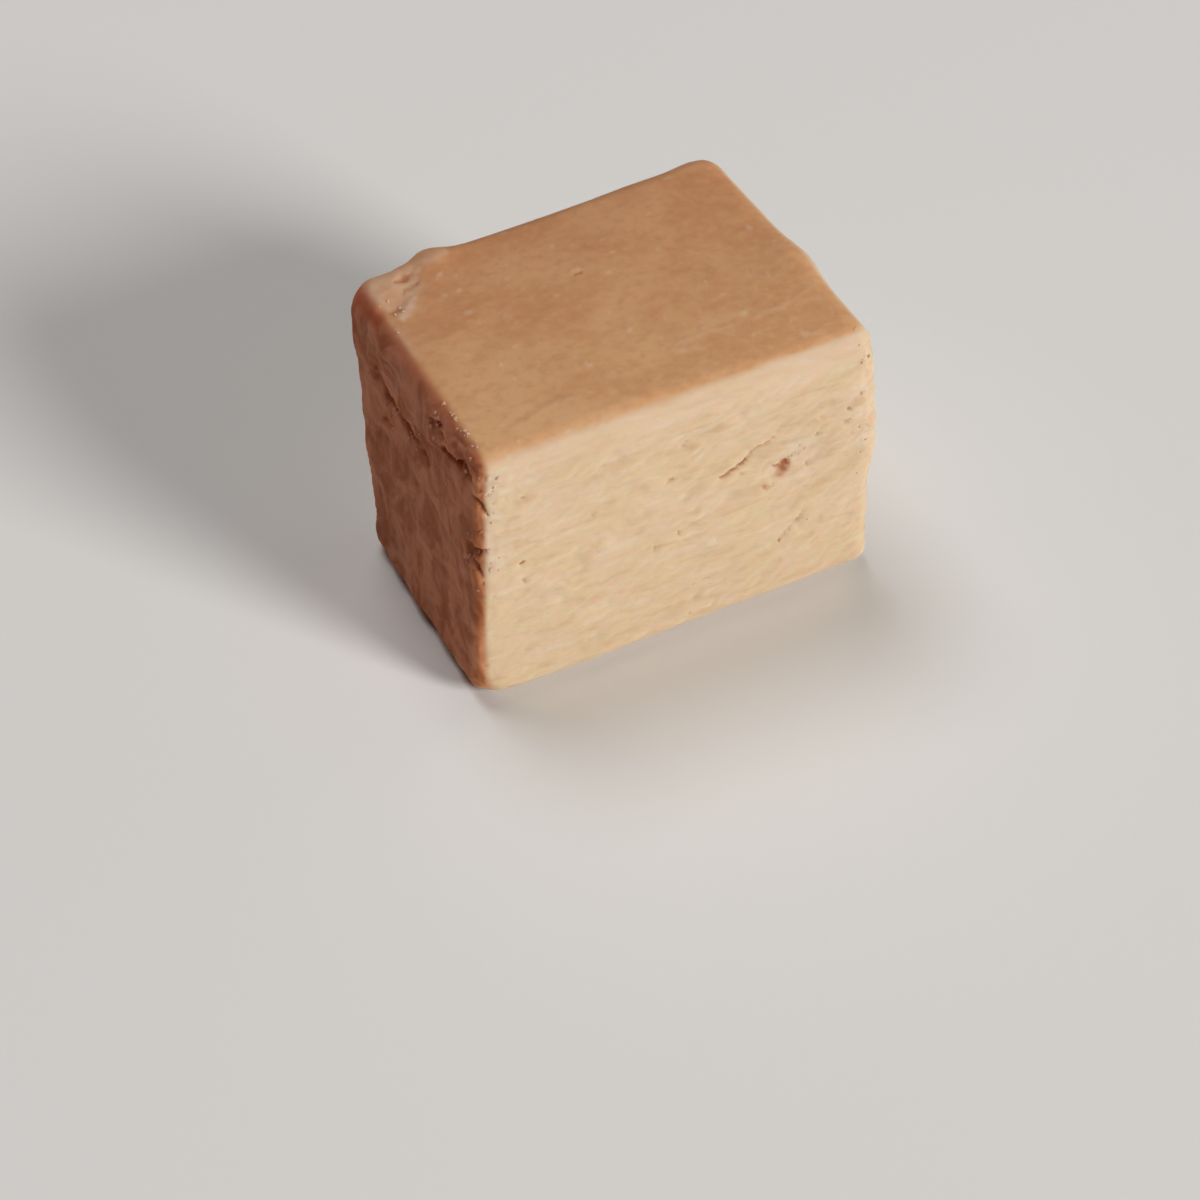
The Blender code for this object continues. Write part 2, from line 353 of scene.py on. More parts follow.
SHORT_SIDE_MARKS = [
    (((16.8, 4.6), (15.8, 5.0), (15.2, 6.0)), 0.44, 0.34, 0.5),
    (((15.2, 5.9), (13.6, 5.3), (12.6, 5.5)), 0.44, 0.55, 0.7),
    (((12.8, 5.3), (11.4, 5.6), (10.2, 5.4)), 0.42, 0.55, 0.7),
    (((10.4, 5.6), (9.0, 5.5), (7.6, 6.0)), 0.32, 0.32, 0.5),
    (((14.0, 4.7), (11.6, 4.6), (10.0, 4.8)), 0.34, -0.10, 0.0),
    (((16.2, 8.3), (15.0, 8.1)), 0.26, 0.24, 0.5),
    (((7.0, 1.1), (5.7, 1.0)), 0.30, 0.26, 0.6),
    (((5.9, 2.9), (4.6, 2.6), (3.4, 2.4)), 0.38, 0.50, 0.8),
    (((3.8, 2.3), (2.6, 2.2), (1.7, 2.1)), 0.50, 0.60, 0.9),
    (((5.6, 1.9), (4.0, 1.5), (2.4, 1.2)), 0.40, -0.10, -0.2),
    (((5.2, 6.0), (3.6, 5.4)), 1.00, -0.12, 0.0),
    (((8.4, 9.4), (6.2, 10.2), (4.5, 10.8)), 0.34, 0.14, 0.15),
    (((3.2, 9.0), (2.2, 10.2)), 0.30, 0.18, 0.35),
    (((6.4, 8.2), (6.6, 11.4)), 0.40, -0.12, -0.15),
    (((13.0, 8.4), (10.0, 10.2)), 0.60, 0.12, 0.0),
    (((17.5, 3.6), (15.5, 3.9)), 0.30, 0.16, 0.2),
]
# On the near edge, a place is a distance along the long side, or along the short side where it is negative,
# and one below the top
NEAR_EDGE_MARKS = [
    (((-1.4, 0.8), (-0.5, 0.6), (0.1, 0.9)), 0.28, 0.20, 0.6),
    (((-0.9, 3.3), (-0.2, 4.1), (0.7, 4.7)), 0.28, 0.36, 0.8),
    (((-1.5, 8.0), (-0.5, 8.1), (0.9, 7.9)), 0.36, 0.45, 1.0),
    (((-1.6, 8.3), (-0.8, 9.1), (0.1, 9.9)), 0.28, 0.34, 0.85),
    (((-0.5, 6.2), (0.1, 6.4)), 0.24, 0.10, 0.35),
    (((-0.4, 13.3), (0.1, 13.4)), 0.24, 0.10, 0.35),
    (((-0.8, 17.4), (0.1, 17.8)), 0.24, 0.08, 0.25),
]
# On the top, a place is a distance from the short side and one from the long side
TOP_MARKS = [
    (((16.4, 4.75), (19.5, 4.75), (22.5, 4.6)), 0.20, -0.06, -0.15),
    (((22.5, 4.6), (26.0, 4.9), (29.0, 5.7)), 0.20, -0.05, -0.15),
    (((16.8, 4.25), (18.9, 3.65)), 0.26, -0.07, -0.2),
    (((16.6, 4.0), (17.9, 3.5)), 0.16, 0.04, 0.1),
    (((3.6, 3.0), (6.4, 3.7), (9.7, 3.8)), 0.30, 0.05, 0.0),
    (((3.8, 2.4), (6.6, 3.1), (9.4, 3.2)), 0.26, -0.04, -0.1),
    (((14.4, 13.7), (15.2, 13.8)), 0.16, 0.12, 0.6),
    (((14.6, 14.1), (15.4, 14.15)), 0.20, -0.06, -0.25),
    (((22.0, 12.4), (22.15, 12.45)), 0.24, -0.10, -0.4),
    (((5.7, 8.0), (5.85, 8.0)), 0.24, -0.08, -0.4),
    (((5.9, 18.0), (6.1, 18.1)), 0.26, -0.08, -0.4),
    (((20.5, 9.4), (20.6, 9.5)), 0.16, 0.08, 0.3),
    (((11.5, 6.5), (11.6, 6.5)), 0.15, 0.08, 0.3),
    (((25.1, 14.6), (25.2, 14.7)), 0.15, 0.07, 0.3),
    (((1.8, 15.4), (3.6, 17.0)), 0.50, -0.07, -0.55),
    (((5.6, 19.6), (7.6, 19.8)), 0.60, -0.04, -0.3),
    (((4.7, 19.2), (5.1, 19.3)), 0.32, -0.06, -0.5),
    (((0.8, 19.2), (0.45, 17.2)), 0.55, -0.04, -0.45),
    (((0.55, 15.6), (0.55, 11.5)), 0.70, 0.0, -0.35),
    (((3.2, 19.0), (4.5, 19.2)), 0.36, 0.13, 0.55),
    (((3.1, 17.8), (4.5, 18.3)), 0.34, 0.12, 0.4),
    (((1.4, 16.3), (2.4, 16.2)), 0.28, 0.10, 0.4),
    (((1.4, 16.8), (1.6, 16.8)), 0.28, -0.06, -0.3),
]

# Crumbled places: the side, the places that each runs through, its half width and how deep its crumb goes
CRUMBLED = [
    ("short", ((16.6, 5.2), (12.0, 5.6), (8.6, 5.6)), 1.0, 0.30),
    ("short", ((15.8, 8.0), (14.6, 7.4)), 1.2, 0.20),
    ("short", ((7.2, 1.6), (4.4, 2.2), (1.2, 2.2)), 1.0, 0.26),
    ("short", ((4.0, 0.5), (0.8, 0.7)), 0.7, 0.18),
    ("long", ((0.5, 1.0), (0.9, 3.6)), 0.9, 0.14),
    ("long", ((0.5, 8.0), (2.6, 9.6)), 0.9, 0.16),
    ("long", ((29.6, 1.4), (29.9, 6.0), (29.9, 12.0)), 0.8, 0.14),
    ("long", ((22.0, 10.8), (23.4, 9.2), (25.0, 8.0)), 0.8, 0.14),
    ("long", ((22.2, 16.8), (24.0, 15.4), (25.4, 14.0)), 0.6, 0.10),
    ("long", ((9.6, 9.6), (12.6, 9.4)), 0.9, 0.08),
]

# Loose crumbs: the side, a place, how far they scatter round it each way, and how many there are
CRUMB_SPOTS = [
    ("top", (0.6, 3.8), (0.2, 1.4), 20),
    ("top", (1.2, 16.4), (0.9, 1.2), 8),
    ("short", (4.6, 2.0), (2.2, 0.8), 22),
    ("short", (12.0, 5.9), (3.4, 0.9), 24),
    ("short", (0.9, 8.6), (0.5, 1.4), 14),
    ("long", (0.8, 8.8), (0.4, 1.2), 12),
    ("long", (0.8, 3.0), (0.4, 1.2), 12),
    ("long", (23.9, 8.9), (0.4, 0.3), 9),
    ("long", (29.2, 4.6), (0.3, 3.0), 20),
    ("long", (24.2, 15.5), (1.0, 0.7), 5),
]
# A crumb's radius from the least to the most, what share of it each axis has, how far its middle stands
# out of the surface in radii, and how lumpy it is
CRUMB_RADIUS = (0.08 * MM, 0.20 * MM)
CRUMB_SHARES = (0.7, 1.0)
CRUMB_RISE = -0.25
CRUMB_LUMPS = 0.7
CRUMB_LUMP_SIZE = 0.9
CRUMB_SEED = 12

# Chalky places, as a place on the cube, a reach and a strength
CHALKY = [
    ((-0.93, -1.0, 0.8), 2.2 * MM, 0.7),
    ((-0.99, -1.0, 0.25), 1.8 * MM, 0.6),
    ((0.97, -1.0, 0.55), 2.2 * MM, 0.6),
    ((0.97, -1.0, 0.15), 2.0 * MM, 0.45),
    ((0.6, -1.0, 0.2), 2.2 * MM, 0.35),
]


def on_near_edge(along, below_top):
    """A point by the near edge: on the long side, or on the short side where its distance is negative."""
    return on_short_side(-along, below_top) if along < 0 else on_long_side(along, below_top)


PLACES = {"long": on_long_side, "short": on_short_side, "top": on_top, "near": on_near_edge}


def spine_of(side, places):
    """The points on one side that a mark runs through."""
    return [PLACES[side](u * MM, v * MM) for u, v in places]


def placed_marks():
    """Every mark as its spine, half width, depth and tint."""
    found = []
    groups = {"long": LONG_SIDE_MARKS, "short": SHORT_SIDE_MARKS, "near": NEAR_EDGE_MARKS, "top": TOP_MARKS}
    for side, marks in groups.items():
        for places, half_width, depth, tint in marks:
            found.append((spine_of(side, places), half_width * MM, depth * MM, tint))
    return found


def mark_share(points, spine, half_width):
    """How fully each point lies in a mark, from 0 to 1. The mark narrows towards both ends."""
    nearest = np.full(len(points), np.inf)
    parts = len(spine) - 1
    for k in range(parts):
        start, run = spine[k], spine[k + 1] - spine[k]
        share = np.clip((points - start) @ run / (run @ run), 0, 1)
        away = np.linalg.norm(points - start - share[:, None] * run, axis=1)
        width = half_width * (0.45 + 0.55 * np.sin(math.pi * (k + share) / parts))
        nearest = np.minimum(nearest, away / width)
    return np.exp(-(nearest**2))


def layered(points):
    """Points in the fudge's own layers, which rise along the long side."""
    moved = points.copy()
    moved[:, 2] += LAYER_RISE * (0.5 * points[:, 1] - points[:, 0])
    return moved


def dragged(points):
    """Points in the lie of the drag lines, which rise along the long side and bend up at its far end."""
    along = points[:, 0] / LENGTH + 0.5
    moved = points.copy()
    moved[:, 2] += 0.16 * points[:, 1] - LENGTH * (DRAG_RISE * along + DRAG_BEND * along**3)
    return moved


def creases(points, size, seed, sharpness):
    """Fine wandering lines, 1 along each line and 0 away from it."""
    return np.exp(-((field(points, size, seed) / sharpness) ** 2))


def chip_corner():
    """The corner that the chip is broken from, as it would stand whole."""
    return np.array((-1, 1, 1)) * HALF + CORNER_SHIFT[(-1, 1, 1)] + [0, 0, HALF[2]]


class Surface:
    """The fudge's outside: its points, and at each of them the shares that its material reads."""

    def __init__(self, cells, crowding):
        self.cube, self.quads = block_lattice(cells, crowding)
        self.points = place_on_block(self.cube)
        mesh = bpy.data.meshes.new("smooth_block")
        mesh.from_pydata(self.points.tolist(), [], self.quads)
        normals = np.empty(3 * len(self.points), np.float32)
        mesh.vertex_normals.foreach_get("vector", normals)
        self.normals = normals.reshape(-1, 3).astype(float)
        bpy.data.meshes.remove(mesh)

        up = self.normals[:, 2]
        height = self.points[:, 2]
        below_top = HEIGHT - height
        front = smoothstep(*FACING, -self.normals[:, 1])
        self.side = smoothstep(*SIDE_LEAN, np.abs(up))
        self.top = smoothstep(*TOP_LEAN, up)
        self.skin = self.skin_share()
        self.above_foot = smoothstep(0.2 * MM, CALM_FOOT, height)
        self.left = smoothstep(*FACING, -self.normals[:, 0])
        band = SKIN_BAND * (0.45 + 0.55 * front)
        self.torn = self.side * self.above_foot * smoothstep(0.5 * band, 1.3 * band, below_top)
        self.patchy = 0.6 + 0.4 * field(self.points, 8 * MM, 1)
        self.layers = layered(self.points)
        # Painted shade: the short side, turned away from the key light, is darkened and warmed as by shade
        # and bounced light
        self.short_side_shade = smoothstep(*SHADE_LEAN, -self.normals[:, 0])
        from_near_edge = (self.cube[:, 1] + 1) * HALF[1]
        # Painted glow: orange light as if bled through the near edge into the shaded short side
        self.edge_glow = self.short_side_shade * np.exp(-((from_near_edge / EDGE_GLOW_REACH) ** 2))
        # Painted shade darkens the colour in tears, cracks, pits, crease lines and bitten edges, by the
        # share below
        self.hollow_shade = np.zeros(len(self.points))
        # Red-brown painted shade on the floors of sunk marks
        self.floor_shade = np.zeros(len(self.points))
        self.chalk = np.zeros(len(self.points))

    def skin_share(self):
        """How far the set skin comes over the top edges. The knife took more of it off at the far right."""
        flat = np.maximum(np.hypot(self.normals[:, 0], self.normals[:, 1]), 0.01)
        facing_front = np.clip(-self.normals[:, 1] / flat, 0, 1)
        along = (self.cube[:, 0] + 1) / 2
        level = SKIN_START + SKIN_CUT_BACK * facing_front * along
        ragged = self.normals[:, 2] + 0.04 * field(self.points, 2.5 * MM, 11)
        ragged += 0.02 * field(self.points, 0.6 * MM, 12)
        return smoothstep(level, SKIN_WHOLE, ragged)

    def coarse_relief(self):
        """The relief that the solid has too."""
        points, layers = self.points, self.layers
        out = WAVE_HEIGHT * field(points, 9 * MM, 2)
        for place, reach, swell in SWELLS:
            out += swell * nearness(points, place, reach)
        out *= smoothstep(0.0, CALM_FOOT, points[:, 2])
        out += LAYER_HEIGHT * self.torn * self.patchy * field(layers, (6 * MM, 6 * MM, 1.8 * MM), 3)
        tear = smoothstep(0.25, 0.6, field(layers, (3.2 * MM, 3.2 * MM, 1.4 * MM), 4))
        torn_out = self.torn * self.patchy * tear
        # Painted shade in the tears
        self.hollow_shade += 0.15 * torn_out
        return out - TEAR_DEPTH * torn_out

    def marks_relief(self):
        """The placed cracks, pits, notches and drag lines."""
        points = self.points
        wobble = random_shifts(points, 1.6 * MM, (5, 6, 7))
        ripple = random_shifts(points, 0.45 * MM, (15, 16, 17))
        wobbled = points + WOBBLE * wobble * (1 - 0.6 * self.top)[:, None] + RIPPLE * ripple
        out = np.zeros(len(points))
        for spine, half_width, depth, tint in placed_marks():
            share = mark_share(wobbled, spine, half_width)
            out -= depth * share
            # Painted shade: the floor of a sunk mark turns red-brown dark by its tint
            self.floor_shade = np.maximum(self.floor_shade, tint * share)
            self.chalk = np.maximum(self.chalk, -tint * share)
            if depth > 0:
                # Painted shade on the floor of a sunk mark, fuller the deeper it is
                self.hollow_shade += share * depth / DARK_DEPTH
        return self.above_foot * out

    def crumbled_relief(self):
        """The places where the cut side broke up into crumb."""
        points = self.points
        bits = field(points, (0.9 * MM, 0.9 * MM, 0.55 * MM), 51) + 0.6 * field(points, 0.36 * MM, 52)
        lost = smoothstep(0.0, 0.45, bits)
        kept = smoothstep(0.05, -0.4, bits)
        out = np.zeros(len(points))
        for side, places, half_width, depth in CRUMBLED:
            share = mark_share(points, spine_of(side, places), half_width * MM)
            out += depth * MM * share * (0.35 * kept - lost)
            # Painted shade where crumb has broken out
            self.hollow_shade += 1.6 * depth * share * lost
        return self.above_foot * out

    def fine_relief(self):
        """Folds, creases, grains and crumb on the cut sides, and the skin's faint unevenness on top."""
        points = self.points
        streaked = dragged(points) + STREAK_BEND * random_shifts(points, 1.3 * MM, (18, 19, 20))
        streaked[:, 2] += STREAK_WAVE * field(points, 6.0 * MM, 50)
        rough = self.torn * np.clip(0.8 + 0.7 * field(points, 4.5 * MM, 21), 0.2, 1.4)
        rough *= 1 - 0.45 * self.left
        out = rough * STREAK_HEIGHT * field(streaked, (4.5 * MM, 4.5 * MM, 1.3 * MM), 22)
        out += rough * GRAIN_HEIGHT * field(points, 0.36 * MM, 25)

        folds = np.minimum(np.abs(field(streaked, (3.4 * MM, 3.4 * MM, 0.8 * MM), 23)), FOLD_CAP)
        out += rough * FOLD_HEIGHT * (folds - FOLD_LEVEL)
        wrinkles = np.minimum(np.abs(field(streaked, (1.6 * MM, 1.6 * MM, 0.45 * MM), 24)), FOLD_CAP)
        wrinkles *= smoothstep(-0.3, 0.2, field(points, 2.5 * MM, 48))
        out += rough * WRINKLE_HEIGHT * (wrinkles - FOLD_LEVEL)
        # Painted shade in the fold valleys, and below in the crease lines, flakes and specks
        self.hollow_shade += rough * 0.14 * smoothstep(0.06, 0.0, folds)

        lines = creases(streaked, (2.0 * MM, 2.0 * MM, 0.7 * MM), 26, 0.05)
        lines *= smoothstep(0.15, 0.45, field(points, (1.5 * MM, 1.5 * MM, 1.0 * MM), 27))
        out -= rough * LINE_DEPTH * lines
        self.hollow_shade += rough * 0.18 * lines

        flakes = smoothstep(0.25, 0.5, field(streaked, (0.9 * MM, 0.9 * MM, 0.4 * MM), 28))
        flakes *= smoothstep(0.0, 0.35, field(points, 3.0 * MM, 29))
        out -= rough * FLAKE_DEPTH * flakes
        self.hollow_shade += rough * 0.10 * flakes

        specks = smoothstep(0.50, 0.66, field(points, 0.62 * MM, 30))
        specks *= smoothstep(-0.1, 0.3, field(points, 4 * MM, 31))
        out -= rough * SPECK_DEPTH * specks
        self.hollow_shade += rough * 0.6 * specks

        chalky = np.zeros(len(points))
        for place, reach, strength in CHALKY:
            chalky = np.maximum(chalky, strength * nearness(points, place, reach))
        bits = smoothstep(-0.05, 0.35, field(points, 0.55 * MM, 32))
        out += POWDER_HEIGHT * chalky * bits * self.side
        self.chalk = np.maximum(self.chalk, chalky * (0.35 + 0.65 * bits) * self.side)

        knife = field(points, (0.6 * MM, 0.6 * MM, 5 * MM), 33)
        drag = field(points, (2.2 * MM, 2.2 * MM, 4.5 * MM), 49)
        out += self.side * self.above_foot * self.left * (KNIFE_HEIGHT * knife + DRAG_HEIGHT * drag)
        return out + self.edge_crumble() + self.skin_relief()

    def edge_crumble(self):
        """The upright edges, where the knife left the crumb ragged."""
        points = self.points
        out_x, out_y = np.abs(self.cube[:, :2]).T
        edge = smoothstep(0.88, 0.985, out_x) * smoothstep(0.84, 0.98, out_y)
        edge *= self.above_foot * (1 - self.top)
        ragged = field(points, 0.9 * MM, 34) + 0.6 * field(points, 0.42 * MM, 35)
        bitten = smoothstep(0.15, 0.6, ragged)
        # Painted shade in the bitten notches
        self.hollow_shade += 0.25 * edge * bitten
        return edge * (EDGE_RAGGEDNESS * ragged - EDGE_BITE * bitten)

    def skin_relief(self):
        """The faint unevenness of the set skin, with its scratches, pocks and pimples."""
        points = self.points
        out = SKIN_SWELL * field(points, 4.5 * MM, 36) + SKIN_RIPPLE * field(points, 1.3 * MM, 37)
        out += SKIN_WEAVE * field(points, (2.4 * MM, 0.6 * MM, 3 * MM), 38)
        out += SKIN_GRAIN * field(points, 0.45 * MM, 45)
        scratches = creases(points, (3.0 * MM, 1.6 * MM, 3.0 * MM), 39, 0.03)
        scratches *= smoothstep(0.1, 0.4, field(points, 2.6 * MM, 40))
        out -= SCRATCH_DEPTH * scratches
        pocks = smoothstep(0.5, 0.66, field(points, 0.6 * MM, 41))
        pimples = smoothstep(0.5, 0.7, field(points, 0.7 * MM, 46))
        # Painted shade in the pocks of the skin
        self.hollow_shade += 0.3 * self.top * pocks
        self.chalk = np.maximum(self.chalk, 0.25 * self.top * pimples)
        return self.top * (out - POCK_DEPTH * pocks + PIMPLE_HEIGHT * pimples)

    def peel(self):
        """How deep the skin has come off the top around the chip."""
        from_corner = np.linalg.norm((self.points - chip_corner())[:, :2], axis=1)
        edge = PEEL_REACH + PEEL_WOBBLE * field(self.points, 1.5 * MM, 9)
        inside = smoothstep(edge + PEEL_SOFTNESS, edge - PEEL_SOFTNESS, from_corner)
        self.peeled = inside * smoothstep(0.1, 0.5, self.normals[:, 2])
        scar = SCAR_SWELL * field(self.points, 1.4 * MM, 42) + SCAR_GRIT * field(self.points, 0.6 * MM, 43)
        return self.peeled * (scar - PEEL_DEPTH)

    def break_chip(self):
        """Lowers what stands above the broken face at the far left corner of the top."""
        corner = chip_corner()
        points = self.points
        away_x = (points[:, 0] - corner[0]) / CHIP_ALONG
        away_y = (corner[1] - points[:, 1]) / CHIP_ACROSS
        reach = smoothstep(1.2, 0.6, away_x + away_y)
        face = corner[2] + CHIP_DROP * (away_x + away_y - 1)
        face += CHIP_ROUGHNESS * field(points, 2.2 * MM, 8) * reach
        face += CHIP_GRIT * field(points, 0.7 * MM, 44) * reach
        above = (points[:, 2] - face) / CHIP_SOFTNESS
        drop = CHIP_SOFTNESS * np.logaddexp(0, above)
        points[:, 2] -= drop
        self.peeled = np.maximum(self.peeled, smoothstep(0.05 * MM, 0.3 * MM, drop))


def lift_rim(cube, points):
    """Curves the underside up a little all round the flat foot."""
    beyond = np.maximum(np.array(FOOT_START) - cube[:, :2], cube[:, :2] - np.array(FOOT_END))
    far = np.linalg.norm(np.maximum(beyond, 0) * HALF[:2], axis=1)
    climb = FOOT_LIFT * (1 - np.exp(-FOOT_SLOPE * far / FOOT_LIFT))
    points[:, 2] += climb * smoothstep(CALM_FOOT, 0.0, points[:, 2])


def fitted_to_solid(points):
    """Points moved as the solid's are, and kept inside its box."""
    low, high = (np.array(corner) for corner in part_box("fudge_piece"))
    middle = (points.min(axis=0) + points.max(axis=0)) / 2
    points = points - [middle[0], middle[1], 0.0]
    return np.clip(points, low, high)


def island_places(cells):
    """The bake's map: the block's six faces as rectangles on one square, a corner of a quad at a time."""
    sheet = 2 * LENGTH + 3 * MAP_GAP + MAP_SPARE
    starts = {}
    rows = [((2, 0), (2, 1)), ((1, 0), (1, 1)), ((0, 0), (0, 1))]
    sizes = 2 * HALF
    top = MAP_GAP
    for row in rows:
        left = MAP_GAP
        for axis, end in row:
            across, along = (axis + 1) % 3, (axis + 2) % 3
            starts[(axis, end)] = (left, top)
            wide, tall = sorted((sizes[across], sizes[along]), reverse=True)
            left += wide + MAP_GAP
        top += tall + MAP_GAP
    places = []
    for axis in range(3):
        across, along = (axis + 1) % 3, (axis + 2) % 3
        swap = sizes[across] < sizes[along]
        for end in (0, 1):
            left, top = starts[(axis, end)]
            for i in range(cells[across]):
                for j in range(cells[along]):
                    ring = []
                    for di, dj in QUAD_CORNERS:
                        u = sizes[across] * (i + di) / cells[across]
                        v = sizes[along] * (j + dj) / cells[along]
                        u, v = (v, u) if swap else (u, v)
                        ring.append(((left + u) / sheet, (top + v) / sheet))
                    places.extend(ring if end else ring[::-1])
    return np.array(places)


def add_object(name, data):
    """A new object in the scene."""
    thing = bpy.data.objects.new(name, data)
    bpy.context.scene.collection.objects.link(thing)
    return thing


def add_share(mesh, name, values):
    """Gives the mesh a value from 0 to 1 at each point, for its material to read."""
    attribute = mesh.attributes.new(name, "FLOAT", "POINT")
    attribute.data.foreach_set("value", np.clip(values, 0, 1).astype(np.float32))


def build_fudge(material):
    """The whole piece but its loose crumbs, as one fine closed mesh. Gives back the surface."""
    surface = Surface(CELLS, EDGE_CROWDING)
    out = surface.coarse_relief() + surface.marks_relief() + surface.crumbled_relief()
    out += surface.fine_relief() + surface.peel()
    surface.points = surface.points + surface.normals * out[:, None]
    surface.break_chip()
    lift_rim(surface.cube, surface.points)
    surface.points = fitted_to_solid(surface.points)

    mesh = bpy.data.meshes.new("fudge_crumb")
    mesh.from_pydata(surface.points.tolist(), [], surface.quads)
    mesh.uv_layers.new(name="OFBake", do_init=False)
    mesh.uv_layers["OFBake"].uv.foreach_set("vector", island_places(CELLS).astype(np.float32).ravel())
    add_share(mesh, "skin", surface.skin)
    # Painted shade of the hollows
    add_share(mesh, "hollow_shade", surface.hollow_shade)
    # Red-brown painted shade on mark floors
    add_share(mesh, "floor_shade", surface.floor_shade)
    add_share(mesh, "peeled", surface.peeled)
    add_share(mesh, "torn", surface.torn)
    add_share(mesh, "chalk", surface.chalk)
    # Painted shade of the short side
    add_share(mesh, "short_side_shade", surface.short_side_shade)
    # Painted glow by the near edge
    add_share(mesh, "edge_glow", surface.edge_glow)
    add_share(mesh, "far", (surface.cube[:, 1] + 1) / 2)
    mesh.shade_smooth()
    mesh.materials.append(material)
    piece = add_object("fudge_crumb", mesh)
    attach(piece, "root")
    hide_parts("fudge_piece")
    return surface


def grain_shape():
    """The points and faces of a ball with a radius of 1, which each crumb is shaped from."""
    form = bmesh.new()
    bmesh.ops.create_icosphere(form, subdivisions=2, radius=1.0)
    points = np.array([vertex.co[:] for vertex in form.verts])
    faces = [[vertex.index for vertex in face.verts] for face in form.faces]
    form.free()
    return points, faces


def crumb_seats(surface, rng):
    """The number of the surface point that each crumb sits on."""
    seats = []
    for side, (u, v), (along, across), count in CRUMB_SPOTS:
        for _ in range(count):
            place = (u + along * rng.normal(), v + across * rng.normal())
            spot = spine_of(side, [place])[0]
            seats.append(int(np.argmin(((surface.points - spot) ** 2).sum(axis=1))))
    return seats


def build_crumbs(surface):
    """Grains of fudge that cling to the cracks, notches and edges."""
    rng = np.random.default_rng(CRUMB_SEED)
    ball, faces = grain_shape()
    low, high = (np.array(corner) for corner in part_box("fudge_piece"))
    points, triangles, seats = [], [], []
    for seat in crumb_seats(surface, rng):
        radius = rng.uniform(*CRUMB_RADIUS) * rng.uniform(*CRUMB_SHARES, 3)
        middle = surface.points[seat] + surface.normals[seat] * CRUMB_RISE * radius.mean()
        turn = np.array(Euler(rng.uniform(0, math.tau, 3)).to_matrix())
        lumps = 1 + CRUMB_LUMPS * field(ball + 7 * len(seats), CRUMB_LUMP_SIZE, 60)
        grain = (ball * lumps[:, None] * radius) @ turn.T + middle
        triangles.extend([k + len(points) * len(ball) for k in face] for face in faces)
        points.append(np.clip(grain, low, high))
        seats.extend([seat] * len(ball))
    mesh = bpy.data.meshes.new("crumbs")
    mesh.from_pydata(np.concatenate(points).tolist(), [], triangles)
    # Painted shade on the crumbs of the short side
    add_share(mesh, "crumb_shade", surface.short_side_shade[seats])
    mesh.shade_smooth()
    mesh.materials.append(crumb_material())
    piece = add_object("crumbs", mesh)
    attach(piece, "root")


class Nodes:
    """A material's node tree, with short calls for the nodes that it needs."""

    def __init__(self, name):
        self.material = bpy.data.materials.new(name)
        self.material.use_nodes = True
        self.tree = self.material.node_tree
        self.shader = self.tree.nodes["Principled BSDF"]

    def add(self, kind, inputs=(), **settings):
        """A new node, with its inputs and settings by name."""
        node = self.tree.nodes.new(kind)
        for key, value in settings.items():
            setattr(node, key, value)
        for name, value in dict(inputs).items():
            self.feed(node.inputs[name], value)
        return node

    def feed(self, socket, value):
        """Gives an input a plain value, or what another node gives out."""
        if isinstance(value, bpy.types.NodeSocket):
            self.tree.links.new(value, socket)
        else:
            socket.default_value = value

    def set_shader(self, values):
        """Feeds the shader's inputs, by name."""
        for name, value in values.items():
            self.feed(self.shader.inputs[name], value)

    def share(self, name):
        """A share that the mesh holds at each point."""
        return self.add("ShaderNodeAttribute", attribute_name=name).outputs["Fac"]

    def noise(self, size, turn=0.0, detail=2.0, roughness=0.5, distortion=0.0):
        """Noise with a size in millimetres for each axis. A turn takes it from elsewhere in its pattern."""
        spot = self.add("ShaderNodeTexCoord").outputs["Object"]
        turned = self.add(
            "ShaderNodeMapping",
            {"Vector": spot, "Scale": tuple(1 / (MM * s) for s in size), "Rotation": (0.0, turn, 0.0)},
        )
        return self.add(
            "ShaderNodeTexNoise",
            {
                "Vector": turned.outputs["Vector"],
                "Scale": 1.0,
                "Detail": detail,
                "Roughness": roughness,
                "Distortion": distortion,
            },
        ).outputs["Fac"]

    def ramp(self, value, low, high, to_low=0.0, to_high=1.0):
        """A smooth step from one value to another, as the input goes from low to high."""
        return self.add(
            "ShaderNodeMapRange",
            {"Value": value, "From Min": low, "From Max": high, "To Min": to_low, "To Max": to_high},
            interpolation_type="SMOOTHSTEP",
        ).outputs["Result"]

    def math(self, operation, a, b):
        """One sum or product of two values."""
        node = self.add("ShaderNodeMath", operation=operation)
        self.feed(node.inputs[0], a)
        self.feed(node.inputs[1], b)
        return node.outputs[0]

    def mix(self, share, a, b, blend="MIX"):
        """Colour a where the share is 0, and b where it is 1."""
        node = self.add("ShaderNodeMix", data_type="RGBA", blend_type=blend)
        self.feed(node.inputs["Factor"], share)
        self.feed(node.inputs["A"], a)
        self.feed(node.inputs["B"], b)
        return node.outputs["Result"]

    def blend(self, share, a, b):
        """Value a where the share is 0, and b where it is 1."""
        node = self.add("ShaderNodeMix", data_type="FLOAT")
        self.feed(node.inputs["Factor"], share)
        self.feed(node.inputs["A"], a)
        self.feed(node.inputs["B"], b)
        return node.outputs["Result"]


# Colours. The skin's near and far ends, the short side's painted shade and the near edge's painted glow
# multiply the colour that they lie on
CUT_PINK = (0.725, 0.54, 0.366, 1.0)
CUT_CREAM = (0.715, 0.538, 0.345, 1.0)
CUT_TAN = (0.65, 0.46, 0.28, 1.0)
# Dark cut colour, for random darker tone and for painted shade in hollows
CUT_DARK_AND_SHADE = (0.42, 0.235, 0.12, 1.0)
CHALK = (0.80, 0.66, 0.53, 1.0)
